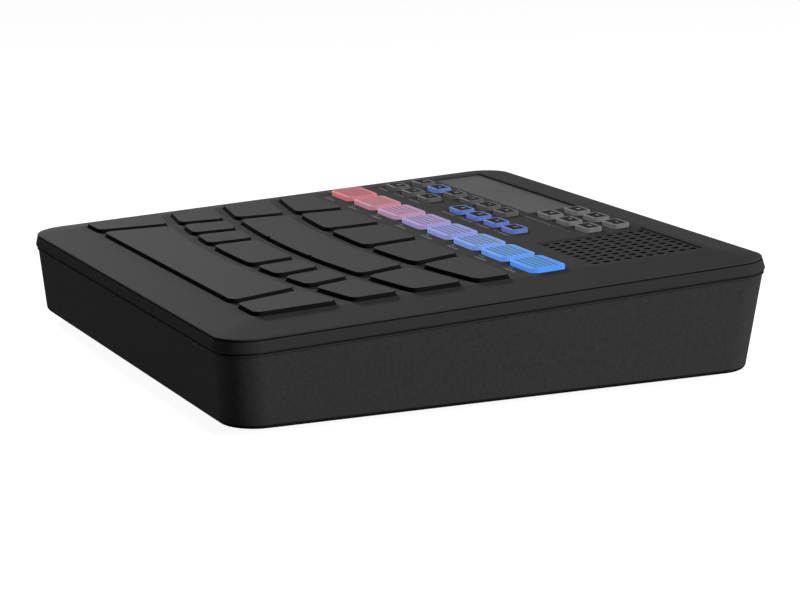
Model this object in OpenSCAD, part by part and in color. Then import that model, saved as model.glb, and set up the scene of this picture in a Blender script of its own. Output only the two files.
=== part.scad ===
/* [Body] */
// Width of the case at its rim
body_w = 240; // [232:1:260]
// Depth of the case at its rim
body_d = 220; // [214:1:240]
// Height of the upper rim edge at the front, above the table
front_h = 35.8; // [33:0.1:42]
// Height of the upper rim edge at the rear, above the table
rear_h = 46.6; // [44:0.1:52]
// Height of the rubber feet
foot_h = 3.4; // [3:0.1:5]
// Plan radius of the case corners
corner_r = 14; // [10:0.5:18]
// Wall thickness of both cases
wall = 2.2; // [1.8:0.1:2.6]
// Height of the upper case's rim band
rim_h = 5.1; // [4.5:0.1:6]
// Rise of the flat deck above the rim edge
deck_rise = 2.75; // [2.4:0.05:3.2]
// Inset of the lower case's bottom edge from the rim, at the front and the sides
bottom_inset = 3.1; // [2:0.1:5]
// Inset of the same edge at the rear
rear_inset = 5.4; // [4:0.1:6]

/* [Drum pads] */
// Half width of the pad field
pad_reach = 98.5; // [96:0.1:99]
// Gap between neighbouring pads
pad_gap = 5.5; // [4.8:0.1:6]
// Angle between neighbouring gap lines, which meet behind the case
lane_angle = 4.11; // [4:0.01:4.2]
// Distance from the case centre to the point where the gap lines meet
lane_focus = 265; // [255:1:275]
// Radius of the bowed pad edges
bow_r = 505; // [480:5:560]
// Rear edge of the rear row
field_rear = 9.3; // [8.5:0.1:10]
// Front edges of the four rows on the centre line, rear row first
row_fronts = [-13.9, -39.3, -62.9, -90.5];
// Corner radius of a pad
pad_corner = 3; // [2:0.1:3.5]
// Rise of every key above the deck
key_rise = 1.55; // [1.2:0.05:2]

/* [Light pads] */
// Width of a light pad
light_w = 21.2; // [20:0.1:22]
// Depth of a light pad
light_d = 14; // [13:0.1:15]
// Distance between the centres of two light pads
light_pitch = 24.75; // [24:0.05:25]
// Centre line of the light pads
light_y = 26.25; // [25.5:0.05:27]

/* [Buttons] */
// Width of a button
button_w = 11.3; // [10:0.1:12]
// Depth of a button
button_d = 7.2; // [6:0.1:8]
// Distance between button columns
button_pitch_x = 16.2; // [16:0.05:16.4]
// Distance between button rows
button_pitch_y = 12.2; // [11.8:0.05:12.4]
// First button's centre, at the left end of the front row
button_origin = [-89.8, 48.2];

/* [Display and grille] */
// Left edge, front edge, width and depth of the display recess
display_box = [-98.5, 68.8, 94, 22.4];
// Depth of the display window's face below the deck
display_sink = 0.6; // [0.4:0.1:0.8]
// Left edge, front edge, width and depth of the grille field
grille_box = [50, 44, 47.2, 47];
// Depth of the grille field below the deck
grille_sink = 0.5; // [0.3:0.1:0.7]
// Columns and rows of grille holes
grille_count = [9, 10];
// Distance between grille holes across and along
grille_pitch = [5.02, 4.63];
// Diameter of a grille hole
grille_hole = 2.7; // [2:0.1:3.2]

/* [Travel] */
// Travel of a drum pad
pad_travel = 0.5; // [0.3:0.05:0.6]
// Travel of a light pad
light_travel = 0.6; // [0.3:0.05:0.7]
// Travel of a button
button_travel = 0.8; // [0.4:0.05:0.9]

/* [Rear sockets] */
// Positions across of the power slider, the small and the large data socket
slider_x = 86; // [84:1:88]
small_socket_x = 62; // [58:1:64]
large_socket_x = 38; // [34:1:42]
// Positions across of the two jacks
jack_x = [-18, -42];
// Position across of the volume wheel
wheel_x = -78; // [-80:1:-74]
// Radius of a jack's bore
jack_bore_r = 1.8; // [1.75:0.01:1.85]

/* [Hidden] */
drum_names = [for (i = [1:18]) str("drum_pad_", i)];
light_names = [for (i = [1:8]) str("light_pad_", i)];
button_names = [for (i = [1:19]) str("button_", i)];
case_names = ["upper_case", "lower_case", "display_window", "display_module", "speaker",
    "panel_board", "sensor_sheet", "key_membrane", "main_board", "rear_sockets", "battery",
    "volume_wheel", "power_slider", "feet", "case_screws"];

// The deck frame: x to the right, y up the slope, z out of the rim plane, origin over the case centre
deck_tilt = atan((rear_h - front_h) / body_d);
deck_z = (front_h + rear_h) / 2;
deck_d = body_d / cos(deck_tilt);

// Heights above the rim plane, measured square to it
deck_top = deck_rise;
deck_t = wall;
deck_under = deck_top - deck_t;
key_top = deck_top + key_rise;
flange_gap = 0.1;
flange_top = deck_under - flange_gap;
flange_t = 1.1;
flange_low = flange_top - flange_t;
flange_grow = 1;
sheet_top = -2;
sheet_t = 0.6;
board_top = sheet_top - sheet_t;
board_t = 1.6;
rest_gap = 0.05;

// Clearances and small features
key_clear = 0.35;
light_corner = 2.5;
button_corner = 1.5;
rim_flare = 0.9;
rim_base_inset = 0.45;
rim_base_h = 0.9;
rim_edge_chamfer = 0.5;
parting_gap = 0.35;
lip_h = 0.75;
lip_inset = 0.4;
side_step = 0.85;
ledge_inset = 1.35;
shelf_t = 1.65;
tongue_inset = rim_flare + wall + 0.25;
tongue_t = 1.2;
tongue_h = 1.3;
bottom_round = 2.4;
deck_x = 100;
deck_front = -92.5;
deck_rear = 93.5;
deck_corner = 3;
round_steps = 5;
bow_step = 7;
// How far a cut runs past the solid, and the thickness of the slabs that a hull joins
cut = 1;
leaf = 0.01;

// Screw posts, board posts and feet
post_x = 108;
post_y = [-84, 2, 86];
post_r = 3.6;
post_drop = 14;
screw_r = 1.4;
screw_hole_r = 1.45;
head_r = 2.9;
head_hole_r = 3.2;
head_t = 1.8;
head_z = foot_h + 3;
stake_r = 1.5;
stake_pin_r = 1;
stake_head_r = 1.7;
stake_points = concat(
    [for (x = [-101.6, 101.6], y = [-80, -28, 14.3, 52, 88]) [x, y]],
    [for (x = [-48, 0, 48]) [x, 14.3]]);
foot_r = 8;
foot_x = 88;
foot_y = [-84, 84];
foot_recess = 0.6;

// Inside the lower case
floor_t = 2.2;
floor_z = foot_h + floor_t;
tub_wall = wall + 0.5;
main_board_z = floor_z + 6;
main_board_top = main_board_z + board_t;
main_board_box = [-95, 60.5, 190, 41.5];
board_posts = [for (x = [-86, 0, 88], y = [68, 96]) [x, y]];
board_post_r = 3;
board_pin_r = 1;
board_pin_h = 1.2;
jack_h = 6.4;
jack_z = main_board_top + jack_h / 2;
jack_nose_r = 3;
jack_hole_r = 3.3;
wheel_r = 10.5;
wheel_t = 4;
wheel_y = 98;
wheel_bore_r = 2.05;
wheel_shaft_r = 2;
wheel_z = main_board_top + 4;
wheel_slot = [20, wheel_t + 1];
slider_travel = 4;
slider_z = main_board_top + 2.5;
slider_knob = [5, 3];
slider_slot = [10, 3.6];
slider_plate = [16, 4.4];
large_socket = [13.2, 5.8];
small_socket = [9, 3.2];
socket_gap = [0.8, 0.6];
rear_wall_y = body_d / 2 - 3.9;

// A straight or bowed pad edge is [height on the centre line, radius], with radius 0 for a straight one
function edge_y(e, x) = e[1] == 0 ? e[0] : e[0] + e[1] - sqrt(e[1] * e[1] - x * x);
function edge_slope(e, x) = e[1] == 0 ? 0 : x / sqrt(e[1] * e[1] - x * x);
// A pad side is [lean, shift]: it leans away from the point where the gap lines meet
function side_x(s, y) = s[0] * (lane_focus - y) + s[1];
function meet(s, e, y, turns = 8) = turns == 0 ? [side_x(s, y), y]
    : meet(s, e, edge_y(e, side_x(s, y)), turns - 1);
function unit(v) = v / norm(v);
// Points of a rounded corner at v, between the directions a and b that leave it
function rounded(v, a, b, r) =
    let (half = acos(a * b) / 2,
        c = v + unit(a + b) * r / sin(half),
        p = v + a * r / tan(half) - c,
        q = v + b * r / tan(half) - c,
        start = atan2(p[1], p[0]),
        turn = 180 - 2 * half)
    [for (i = [0:round_steps]) c + r * [cos(start + turn * i / round_steps), sin(start + turn * i / round_steps)]];
// Points along an edge between two places across
function along(e, x0, x1) =
    e[1] == 0 ? [] : let (n = max(2, ceil(abs(x1 - x0) / bow_step)))
    [for (i = [0:n]) let (x = x0 + (x1 - x0) * i / n) [x, edge_y(e, x)]];
function shifted(s, grow) = [s[0], s[1] + grow];
// Outline of the pad cell [front edge, rear edge, left side, right side], grown all round
function cell_outline(cell, grow) =
    let (f = [cell[0][0] - grow, cell[0][1]],
        b = [cell[1][0] + grow, cell[1][1]],
        l = shifted(cell[2], -grow),
        r = shifted(cell[3], grow),
        cr = pad_corner + grow,
        fl = meet(l, f, f[0]),
        fr = meet(r, f, f[0]),
        br = meet(r, b, b[0]),
        bl = meet(l, b, b[0]),
        keep = cr + 1)
    concat(
        rounded(fl, unit(bl - fl), unit([1, edge_slope(f, fl[0])]), cr),
        along(f, fl[0] + keep, fr[0] - keep),
        rounded(fr, unit([-1, -edge_slope(f, fr[0])]), unit(br - fr), cr),
        rounded(br, unit(fr - br), unit([-1, -edge_slope(b, br[0])]), cr),
        along(b, br[0] - keep, bl[0] + keep),
        rounded(bl, unit([1, edge_slope(b, bl[0])]), unit(fl - bl), cr));

// The gap lines that cut each row, counted from the centre line
row_lanes = [[-3, -1, 1, 3], [-3, 3], [-3, -2, -1, 1, 2, 3], [-3, 3]];
function row_front(r) = [row_fronts[r], r == len(row_fronts) - 1 ? 0 : bow_r];
function row_rear(r) = r == 0 ? [field_rear, 0] : [row_fronts[r - 1] - pad_gap, bow_r];
function lean(k) = tan(k * lane_angle);
cells = [for (r = [0:3], i = [0:len(row_lanes[r])])
    let (lanes = row_lanes[r])
    [row_front(r), row_rear(r),
        i == 0 ? [0, -pad_reach] : [lean(lanes[i - 1]), pad_gap / 2],
        i == len(lanes) ? [0, pad_reach] : [lean(lanes[i]), -pad_gap / 2]]];

light_places = [for (k = [0:7]) [(k - 3.5) * light_pitch, light_y]];
// Columns that hold a button, row by row from the front
button_columns = [[0, 1, 2, 4, 5, 6, 7], [0, 1, 2, 3, 4, 5], [6, 7, 8], [6, 7, 8]];
button_places = [for (r = [0:3], c = button_columns[r])
    button_origin + [c * button_pitch_x, r * button_pitch_y]];

case_color = [0.07, 0.07, 0.075];
pad_color = [0.1, 0.1, 0.105];
button_color = [0.45, 0.45, 0.47];
lit_button_color = [0.35, 0.5, 0.95];
board_color = [0.05, 0.3, 0.16];
metal_color = [0.7, 0.7, 0.72];
rubber_color = [0.04, 0.04, 0.04];
light_colors = [[0.9, 0.35, 0.38], [0.88, 0.5, 0.55], [0.8, 0.6, 0.75], [0.72, 0.66, 0.86],
    [0.6, 0.65, 0.92], [0.45, 0.62, 0.93], [0.35, 0.6, 0.93], [0.25, 0.55, 0.93]];
lit_buttons = [4, 5, 6, 7, 9];

module deck() {
    translate([0, 0, deck_z])
        rotate([deck_tilt, 0, 0])
            children();
}

module rounded_rect(w, d, r) {
    square([w - 2 * r, d], center = true);
    square([w, d - 2 * r], center = true);
    for (x = [-1, 1], y = [-1, 1])
        translate([x * (w / 2 - r), y * (d / 2 - r)])
            circle(r = r, $fn = 48);
}

// The case outline in the deck frame, inset all round, as a slab of height t
module case_slab(inset, t) {
    linear_extrude(height = t)
        rounded_rect(body_w - 2 * inset, deck_d - 2 * inset, corner_r - inset / 2);
}

// The flat deck's outline, grown all round, as a slab of height t
module deck_slab(grow, t) {
    translate([0, (deck_front + deck_rear) / 2, 0])
        linear_extrude(height = t)
            rounded_rect(2 * (deck_x + grow), deck_rear - deck_front + 2 * grow, deck_corner);
}

module box_at(box, z, t, grow = 0) {
    translate([box[0] - grow, box[1] - grow, z])
        cube([box[2] + 2 * grow, box[3] + 2 * grow, t]);
}

module grille_holes(t) {
    first = [grille_box[0] + (grille_box[2] - (grille_count[0] - 1) * grille_pitch[0]) / 2,
        grille_box[1] + (grille_box[3] - (grille_count[1] - 1) * grille_pitch[1]) / 2];
    for (i = [0:grille_count[0] - 1], j = [0:grille_count[1] - 1])
        translate([first[0] + i * grille_pitch[0], first[1] + j * grille_pitch[1], deck_under - cut])
            cylinder(r = grille_hole / 2, h = t, $fn = 20);
}

module key_openings() {
    translate([0, 0, deck_under - 3]) {
        for (c = cells)
            linear_extrude(height = deck_t + 6)
                polygon(cell_outline(c, key_clear));
        for (p = light_places)
            translate(p)
                linear_extrude(height = deck_t + 6)
                    rounded_rect(light_w + 2 * key_clear, light_d + 2 * key_clear, light_corner + key_clear);
        for (p = button_places)
            translate(p)
                linear_extrude(height = deck_t + 6)
                    rounded_rect(button_w + 2 * key_clear, button_d + 2 * key_clear, button_corner + key_clear);
    }
}

// Skin of the upper case: rim band drawn in at its foot, then four sloped margins up to the flat deck
module upper_skin(inset, drop) {
    hull() {
        translate([0, 0, -rim_h - drop])
            case_slab(rim_base_inset + inset, leaf);
        translate([0, 0, rim_base_h - rim_h - drop])
            case_slab(inset, leaf);
        translate([0, 0, -rim_edge_chamfer - drop - leaf])
            case_slab(rim_flare + inset, leaf);
        translate([0, 0, -drop - leaf])
            case_slab(rim_flare + rim_edge_chamfer + inset, leaf);
        translate([0, 0, deck_top - drop - leaf])
            deck_slab(-inset / 4, leaf);
    }
}

function post_z(y) = deck_z + y * tan(deck_tilt) - post_drop;

module upper_case() {
    display_low = -1.9;
    window_ledge = 2;
    color(case_color)
        difference() {
            union() {
                deck()
                    difference() {
                        upper_skin(0, 0);
                        upper_skin(wall, wall);
                    }
                deck()
                    box_at(display_box, -0.5, deck_t, 0.8);
                deck()
                    for (p = stake_points)
                        translate([p[0], p[1], board_top - board_t])
                            cylinder(r = stake_pin_r, h = 4, $fn = 24);
                deck()
                    for (p = stake_points)
                        translate([p[0], p[1], board_top])
                            cylinder(r = stake_r, h = deck_under - board_top + 0.4, $fn = 24);
                deck()
                    for (p = stake_points)
                        translate([p[0], p[1], board_top - board_t - 0.7])
                            cylinder(r = stake_head_r, h = 0.7, $fn = 24);
                for (x = [-post_x, post_x], y = post_y)
                    translate([x, y, post_z(y)])
                        cylinder(r = post_r, h = post_drop, $fn = 32);
            }
            for (x = [-post_x, post_x], y = post_y)
                translate([x, y, post_z(y) - cut])
                    cylinder(r = screw_hole_r, h = 11, $fn = 24);
            deck()
                key_openings();
            deck()
                box_at(display_box, deck_top - display_sink - 1.2, 3);
            deck()
                box_at(display_box, display_low, 6, -window_ledge);
            deck()
                box_at(grille_box, deck_top - grille_sink, 2);
            deck()
                grille_holes(6);
        }
}

// A level slab of the bottom edge's outline, inset all round
module level_slab(inset, z) {
    edge = bottom_inset + inset;
    rear_extra = rear_inset - bottom_inset;
    translate([0, -rear_extra / 2, z])
        linear_extrude(height = leaf)
            rounded_rect(body_w - 2 * edge, body_d - 2 * edge - rear_extra, corner_r - inset);
}

// Skin of the lower case: a rounded bottom edge, then tapered sides up to a slab that is parallel to the rim
module lower_skin(inset, low_z, top_drop) {
    hull() {
        level_slab(inset + bottom_round, low_z);
        level_slab(inset + bottom_round * 0.29, low_z + bottom_round * 0.29);
        level_slab(inset, low_z + bottom_round);
        deck()
            translate([0, 0, -top_drop])
                case_slab(side_step + inset, leaf);
    }
}

// An opening through the rear wall, centred at x and z
module rear_slot(x, z, size) {
    translate([x - size[0] / 2, rear_wall_y - 6, z - size[1] / 2])
        cube([size[0], 12, size[1]]);
}

module lower_case() {
    lip_top = rim_h + parting_gap;
    color(case_color)
        difference() {
            union() {
                difference() {
                    union() {
                        lower_skin(0, foot_h, lip_top + lip_h / 2);
                        deck()
                            translate([0, 0, -lip_top - lip_h])
                                case_slab(lip_inset, lip_h);
                        deck()
                            translate([0, 0, -rim_h - cut])
                                case_slab(ledge_inset, cut);
                        deck()
                            translate([0, 0, -rim_h - cut])
                                case_slab(tongue_inset, cut + tongue_h);
                    }
                    lower_skin(tub_wall, floor_z, lip_top + shelf_t);
                    deck()
                        translate([0, 0, -lip_top - 2 * shelf_t])
                            case_slab(tongue_inset + tongue_t, 12);
                }
                for (x = [-post_x, post_x], y = post_y)
                    translate([x, y, floor_z - cut])
                        cylinder(r = post_r + 0.6, h = post_z(y) - floor_z + cut, $fn = 32);
                for (p = board_posts)
                    translate([p[0], p[1], floor_z - cut])
                        cylinder(r = board_post_r, h = main_board_z - floor_z + cut, $fn = 24);
                for (p = board_posts)
                    translate([p[0], p[1], main_board_z])
                        cylinder(r = board_pin_r, h = board_t + board_pin_h, $fn = 24);
            }
            for (x = [-post_x, post_x], y = post_y)
                translate([x, y, foot_h - cut])
                    cylinder(r = screw_hole_r + 0.2, h = 40, $fn = 24);
            for (x = [-post_x, post_x], y = post_y)
                translate([x, y, foot_h - cut])
                    cylinder(r = head_hole_r, h = head_z - foot_h + cut, $fn = 32);
            for (x = [-foot_x, foot_x], y = foot_y)
                translate([x, y, foot_h - cut])
                    cylinder(r = foot_r + 0.1, h = foot_recess + cut, $fn = 48);
            for (x = jack_x)
                translate([x, body_d / 2 + cut, jack_z])
                    rotate([90, 0, 0])
                        cylinder(r = jack_hole_r, h = 10, $fn = 32);
            rear_slot(wheel_x, wheel_z + wheel_t / 2, wheel_slot);
            rear_slot(large_socket_x, main_board_top + large_socket[1] / 2, large_socket + socket_gap);
            rear_slot(small_socket_x, main_board_top + small_socket[1] / 2, small_socket + socket_gap);
            rear_slot(slider_x, slider_z, slider_slot);
        }
}

module display_window() {
    color([0.12, 0.12, 0.13])
        deck()
            box_at(display_box, deck_top - display_sink - 1.2, 1.2, -0.1);
}

module display_module() {
    color([0.25, 0.27, 0.26])
        deck()
            box_at(display_box, board_top, 2, -1);
}

module speaker() {
    cx = grille_box[0] + grille_box[2] / 2;
    cy = grille_box[1] + grille_box[3] / 2;
    color([0.2, 0.2, 0.21])
        deck()
            translate([cx, cy, deck_under])
                rotate_extrude($fn = 64)
                    polygon([[0, -4.5], [4, -4.5], [6, -5.5], [16.5, -1.4], [17.5, 0], [20, 0], [20, -1.2],
                        [18.4, -1.2], [11, -8.2], [9, -8.2], [9, -13.5], [0, -13.5]]);
}

module panel_board() {
    board_x = 103.8;
    board_rear = 94;
    board_front = -92;
    cx = grille_box[0] + grille_box[2] / 2;
    cy = grille_box[1] + grille_box[3] / 2;
    color(board_color)
        deck()
            difference() {
                translate([-board_x, board_front, board_top - board_t])
                    cube([2 * board_x, board_rear - board_front, board_t]);
                for (p = stake_points)
                    translate([p[0], p[1], board_top - board_t - cut])
                        cylinder(r = stake_pin_r + 0.05, h = board_t + 2 * cut, $fn = 24);
                translate([cx, cy, board_top - board_t - cut])
                    cylinder(r = 21, h = board_t + 2 * cut, $fn = 64);
            }
}

module sensor_sheet() {
    color([0.55, 0.5, 0.3])
        deck()
            translate([-98.5, -91.4, board_top])
                cube([197, 102.4, sheet_t]);
}

// One membrane under the light pads and the two fields of buttons
module key_membrane() {
    color([0.8, 0.8, 0.78])
        deck()
            translate([0, 0, board_top])
                linear_extrude(height = sheet_t)
                    polygon([[-98.5, 17.5], [98.5, 17.5], [98.5, 42], [48, 42], [48, 91], [-1.2, 91],
                        [-1.2, 66.6], [-98.5, 66.6]]);
}

// A jack's plastic body on the board with a round nose through the rear wall
module jack(x) {
    body_back = rear_wall_y - 3.7;
    translate([x, 0, 0])
        difference() {
            union() {
                translate([-5.5, body_back - 12, main_board_top])
                    cube([11, 12, jack_h]);
                translate([0, rear_wall_y - 0.4, jack_z])
                    rotate([90, 0, 0])
                        cylinder(r = jack_nose_r, h = 4.5, $fn = 40);
            }
            translate([0, rear_wall_y + cut, jack_z])
                rotate([90, 0, 0])
                    cylinder(r = jack_bore_r, h = 14 + cut, $fn = 40);
        }
}

// An open metal socket shell with a contact tongue
module data_socket(x, size, r, depth, tongue_t) {
    skin = 0.35;
    back = 1.5;
    translate([x, rear_wall_y - 0.6, main_board_top + size[1] / 2])
        rotate([90, 0, 0]) {
            difference() {
                linear_extrude(height = depth)
                    rounded_rect(size[0], size[1], r);
                translate([0, 0, -back])
                    linear_extrude(height = depth)
                        rounded_rect(size[0] - 2 * skin, size[1] - 2 * skin, r - skin / 2);
            }
            translate([0, 0, depth / 2 + 0.4])
                cube([size[0] - 2.8, tongue_t, depth - 1.2], center = true);
        }
}

module rear_sockets() {
    color(metal_color) {
        for (x = jack_x)
            jack(x);
        data_socket(large_socket_x, large_socket, 0.5, 14, 1.4);
        data_socket(small_socket_x, small_socket, 1.5, 7.5, 0.7);
    }
}

module main_board() {
    color(board_color) {
        difference() {
            box_at(main_board_box, main_board_z, board_t);
            for (p = board_posts)
                translate([p[0], p[1], main_board_z - cut])
                    cylinder(r = board_pin_r + 0.05, h = board_t + 2 * cut, $fn = 24);
        }
        // Potentiometer that carries the volume wheel
        translate([wheel_x, wheel_y, main_board_top])
            cylinder(r = 4.2, h = wheel_z - main_board_top - 0.3, $fn = 32);
        translate([wheel_x, wheel_y, main_board_top])
            cylinder(r = wheel_shaft_r, h = wheel_z - main_board_top + wheel_t, $fn = 32);
        // Body of the power switch
        translate([slider_x - 7, rear_wall_y - 9, main_board_top])
            cube([14, 4, 5]);
        // Chips
        translate([-10, 72, main_board_top])
            cube([14, 14, 1.4]);
        translate([18, 74, main_board_top])
            cube([10, 10, 1.2]);
        translate([-44, 70, main_board_top])
            cube([8, 12, 1.2]);
    }
}

module battery() {
    color([0.2, 0.3, 0.45])
        translate([-35, -58, floor_z])
            cube([70, 52, 11]);
}

module volume_wheel() {
    ribs = 36;
    color(case_color)
        translate([wheel_x, wheel_y, wheel_z])
            difference() {
                cylinder(r = wheel_r, h = wheel_t, $fn = 72);
                translate([0, 0, -cut])
                    cylinder(r = wheel_bore_r, h = wheel_t + 2 * cut, $fn = 32);
                for (i = [0:ribs - 1])
                    rotate([0, 0, i * 360 / ribs])
                        translate([wheel_r + 0.1, 0, -cut])
                            cylinder(r = 0.35, h = wheel_t + 2 * cut, $fn = 16);
            }
}

// The knob stands at the left end of its slot, on a plate that stays behind the wall
module power_slider() {
    plate_t = 1;
    knob_d = 6;
    color(case_color)
        translate([slider_x - slider_travel / 2, rear_wall_y - 4.7, slider_z]) {
            translate([-slider_knob[0] / 2, 0, -slider_knob[1] / 2])
                cube([slider_knob[0], knob_d, slider_knob[1]]);
            translate([-slider_plate[0] / 2, 0, -slider_plate[1] / 2])
                cube([slider_plate[0], plate_t, slider_plate[1]]);
        }
}

module feet() {
    color(rubber_color)
        for (x = [-foot_x, foot_x], y = foot_y)
            translate([x, y, 0])
                cylinder(r = foot_r, h = foot_h + foot_recess, $fn = 64);
}

module case_screws() {
    color(metal_color)
        for (x = [-post_x, post_x], y = post_y)
            translate([x, y, head_z - head_t]) {
                difference() {
                    cylinder(r = head_r, h = head_t, $fn = 32);
                    translate([0, 0, -cut])
                        cylinder(r = 1.1, h = cut + 1, $fn = 6);
                }
                translate([0, 0, head_t])
                    cylinder(r = screw_r, h = post_z(y) - head_z + 8, $fn = 24);
            }
}

// A plunger under each key reaches down to the sheet, less the key's travel
module plunger(r, travel) {
    low = sheet_top + travel + rest_gap;
    translate([0, 0, low])
        cylinder(r = r, h = flange_low - low + 0.2, $fn = 32);
}

function cell_centre(c) =
    let (y = (edge_y(c[0], 0) + edge_y(c[1], 0)) / 2,
        x = (side_x(c[2], y) + side_x(c[3], y)) / 2)
    [x, (edge_y(c[0], x) + edge_y(c[1], x)) / 2];

module drum_pad(i) {
    c = cells[i - 1];
    wide = side_x(c[3], 0) - side_x(c[2], 0) > 80;
    color(pad_color)
        deck() {
            translate([0, 0, flange_top - 0.2])
                linear_extrude(height = key_top - flange_top + 0.2)
                    polygon(cell_outline(c, 0));
            translate([0, 0, flange_low])
                linear_extrude(height = flange_t)
                    polygon(cell_outline(c, flange_grow));
            for (x = wide ? [-40, 0, 40] : [0])
                translate(cell_centre(c) + [x, edge_y([0, bow_r], x)])
                    plunger(4, pad_travel);
        }
}

module key(p, w, d, r, travel, plunger_r) {
    deck()
        translate(p) {
            translate([0, 0, flange_top - 0.2])
                linear_extrude(height = key_top - flange_top + 0.2)
                    rounded_rect(w, d, r);
            translate([0, 0, flange_low])
                linear_extrude(height = flange_t)
                    rounded_rect(w + 2 * flange_grow, d + 2 * flange_grow, r);
            plunger(plunger_r, travel);
        }
}

module light_pad(i) {
    color(light_colors[i - 1])
        key(light_places[i - 1], light_w, light_d, light_corner, light_travel, 4);
}

module button(i) {
    color(len(search(i, lit_buttons)) > 0 ? lit_button_color : button_color)
        key(button_places[i - 1], button_w, button_d, button_corner, button_travel, 2);
}

upper_case();
lower_case();
display_window();
display_module();
speaker();
panel_board();
sensor_sheet();
key_membrane();
main_board();
rear_sockets();
battery();
volume_wheel();
power_slider();
feet();
case_screws();
for (i = [1:18])
    drum_pad(i);
for (i = [1:8])
    light_pad(i);
for (i = [1:19])
    button(i);
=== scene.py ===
"""A finger drum pad: wedge-shaped case, bowed rows of pads, lit pads and buttons, display and grille."""
import math
import random

import bmesh
import bpy
from mathutils import Matrix, Vector
from mathutils.geometry import delaunay_2d_cdt


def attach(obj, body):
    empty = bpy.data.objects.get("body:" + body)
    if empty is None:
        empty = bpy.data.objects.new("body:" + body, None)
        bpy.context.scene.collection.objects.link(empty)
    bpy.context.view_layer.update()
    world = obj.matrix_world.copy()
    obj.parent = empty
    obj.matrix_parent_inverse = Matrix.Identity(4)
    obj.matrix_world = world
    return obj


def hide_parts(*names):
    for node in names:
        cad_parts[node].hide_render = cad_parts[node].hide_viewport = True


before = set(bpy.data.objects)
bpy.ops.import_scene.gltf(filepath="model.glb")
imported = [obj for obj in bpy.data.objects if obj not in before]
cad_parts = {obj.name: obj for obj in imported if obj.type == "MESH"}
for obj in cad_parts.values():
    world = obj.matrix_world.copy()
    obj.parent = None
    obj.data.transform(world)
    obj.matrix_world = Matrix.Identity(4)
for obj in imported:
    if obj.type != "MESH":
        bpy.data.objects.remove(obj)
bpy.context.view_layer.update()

# Sizes in millimetres and angles in degrees, as in the part's source
MM = 0.001

# Case, its walls, and the rim, gap, lip and tongue along its parting line
BODY_W, BODY_D = 240.0, 220.0
FRONT_H, REAR_H = 35.8, 46.6
FOOT_H = 3.4
CORNER_R = 14.0
WALL = 2.2
TUB_WALL = WALL + 0.5
BOTTOM_INSET, REAR_INSET = 3.1, 5.4
BOTTOM_ROUND, FLOOR_ROUND = 2.4, 1.0
RIM_H = 5.1
RIM_FLARE = 0.9
RIM_BASE = 0.45
RIM_INNER = 2.52
RIM_EDGE_R = 0.5
PARTING_GAP = 0.6
LEDGE_INSET = 2.2
LIP_H = 0.5
LIP_INSET = 0.4
LIP_EDGE_R = 0.12
LIP_GROOVE, LIP_GROOVE_DEPTH = 0.25, 0.5
SIDE_STEP = 0.85
SHELF_T = 1.65
TONGUE = RIM_FLARE + WALL + 0.25
TONGUE_H, TONGUE_T = 1.3, 1.2

# Raised flat deck and the keys in it, with heights over the rim plane
DECK_X, DECK_FRONT, DECK_REAR, DECK_CORNER = 100.0, -92.5, 93.5, 3.0
DECK_TOP = 2.75
DECK_UNDER = DECK_TOP - WALL
MARGIN_RUN = 17.0
KEY_TOP = DECK_TOP + 1.55
KEY_CLEAR = 0.5
OPENING_EDGE = 0.22
FLANGE_TOP = DECK_UNDER - 0.1
FLANGE_LOW = FLANGE_TOP - 1.1
FLANGE_REACH = 0.95

# Drum pads, in lanes that lean towards one focus and rows that are bowed
PAD_REACH = 98.5
PAD_GAP = 5.5
PAD_CORNER = 3.0
PAD_EDGE_R = 0.3
LANE_ANGLE = 4.11
LANE_FOCUS = 265.0
BOW_R = 505.0
FIELD_REAR = 9.3
ROW_FRONTS = (-13.9, -39.3, -62.9, -90.5)
ROW_LANES = ((-3, -1, 1, 3), (-3, 3), (-3, -2, -1, 1, 2, 3), (-3, 3))

# The two dents in the front edge of one drum pad, with a dent's outline in units of its radius
NOTCHED_PAD = 7
NOTCH_X = 21.7
NOTCH_R = 1.0
NOTCH_REACH = 1.8
DENT = ((-1.35, 0), (-1.0, 0.15), (-0.75, 0.6), (-0.35, 0.95),
        (0.35, 0.95), (0.75, 0.6), (1.0, 0.15), (1.35, 0))

# Light pads and buttons
LIGHT_W, LIGHT_D, LIGHT_R = 21.2, 14.0, 2.5
LIGHT_EDGE_R = 0.4
LIGHT_COUNT = 8
LIGHT_PITCH, LIGHT_Y = 24.75, 26.25
BUTTON_W, BUTTON_D, BUTTON_R = 11.3, 7.2, 1.5
BUTTON_EDGE_R = 0.35
BUTTON_PITCH = (16.2, 12.2)
BUTTON_ORIGIN = (-89.8, 48.2)
BUTTON_COLUMNS = ((0, 1, 2, 4, 5, 6, 7), (0, 1, 2, 3, 4, 5), (6, 7, 8), (6, 7, 8))
FIRST_ROW_BUTTONS = len(BUTTON_COLUMNS[0])
LIT_BUTTONS = (4, 5, 6, 7, 9)
PALE_BUTTONS = range(14, 20)

# Display and grille field, each as (left, front, width, depth)
DISPLAY = (-98.5, 68.8, 94.0, 22.4)
DISPLAY_SINK = 0.6
DISPLAY_LEDGE = 2.0
WINDOW_T = 1.2
WINDOW_CLEAR = 0.12
WINDOW_EDGE_R = 0.12
GRILLE = (50.0, 44.0, 47.2, 47.0)
GRILLE_SINK = 0.5
GRILLE_COUNT = (9, 10)
GRILLE_PITCH = (5.02, 4.63)
GRILLE_HOLE_R = 1.5
GRILLE_HOLE_EDGE = 0.12

DECK_TILT = math.atan((REAR_H - FRONT_H) / BODY_D)
DECK_Z = (FRONT_H + REAR_H) / 2
DECK_D = BODY_D / math.cos(DECK_TILT)
LIP_TOP = RIM_H + PARTING_GAP
FLOOR_Z = FOOT_H + WALL

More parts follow.
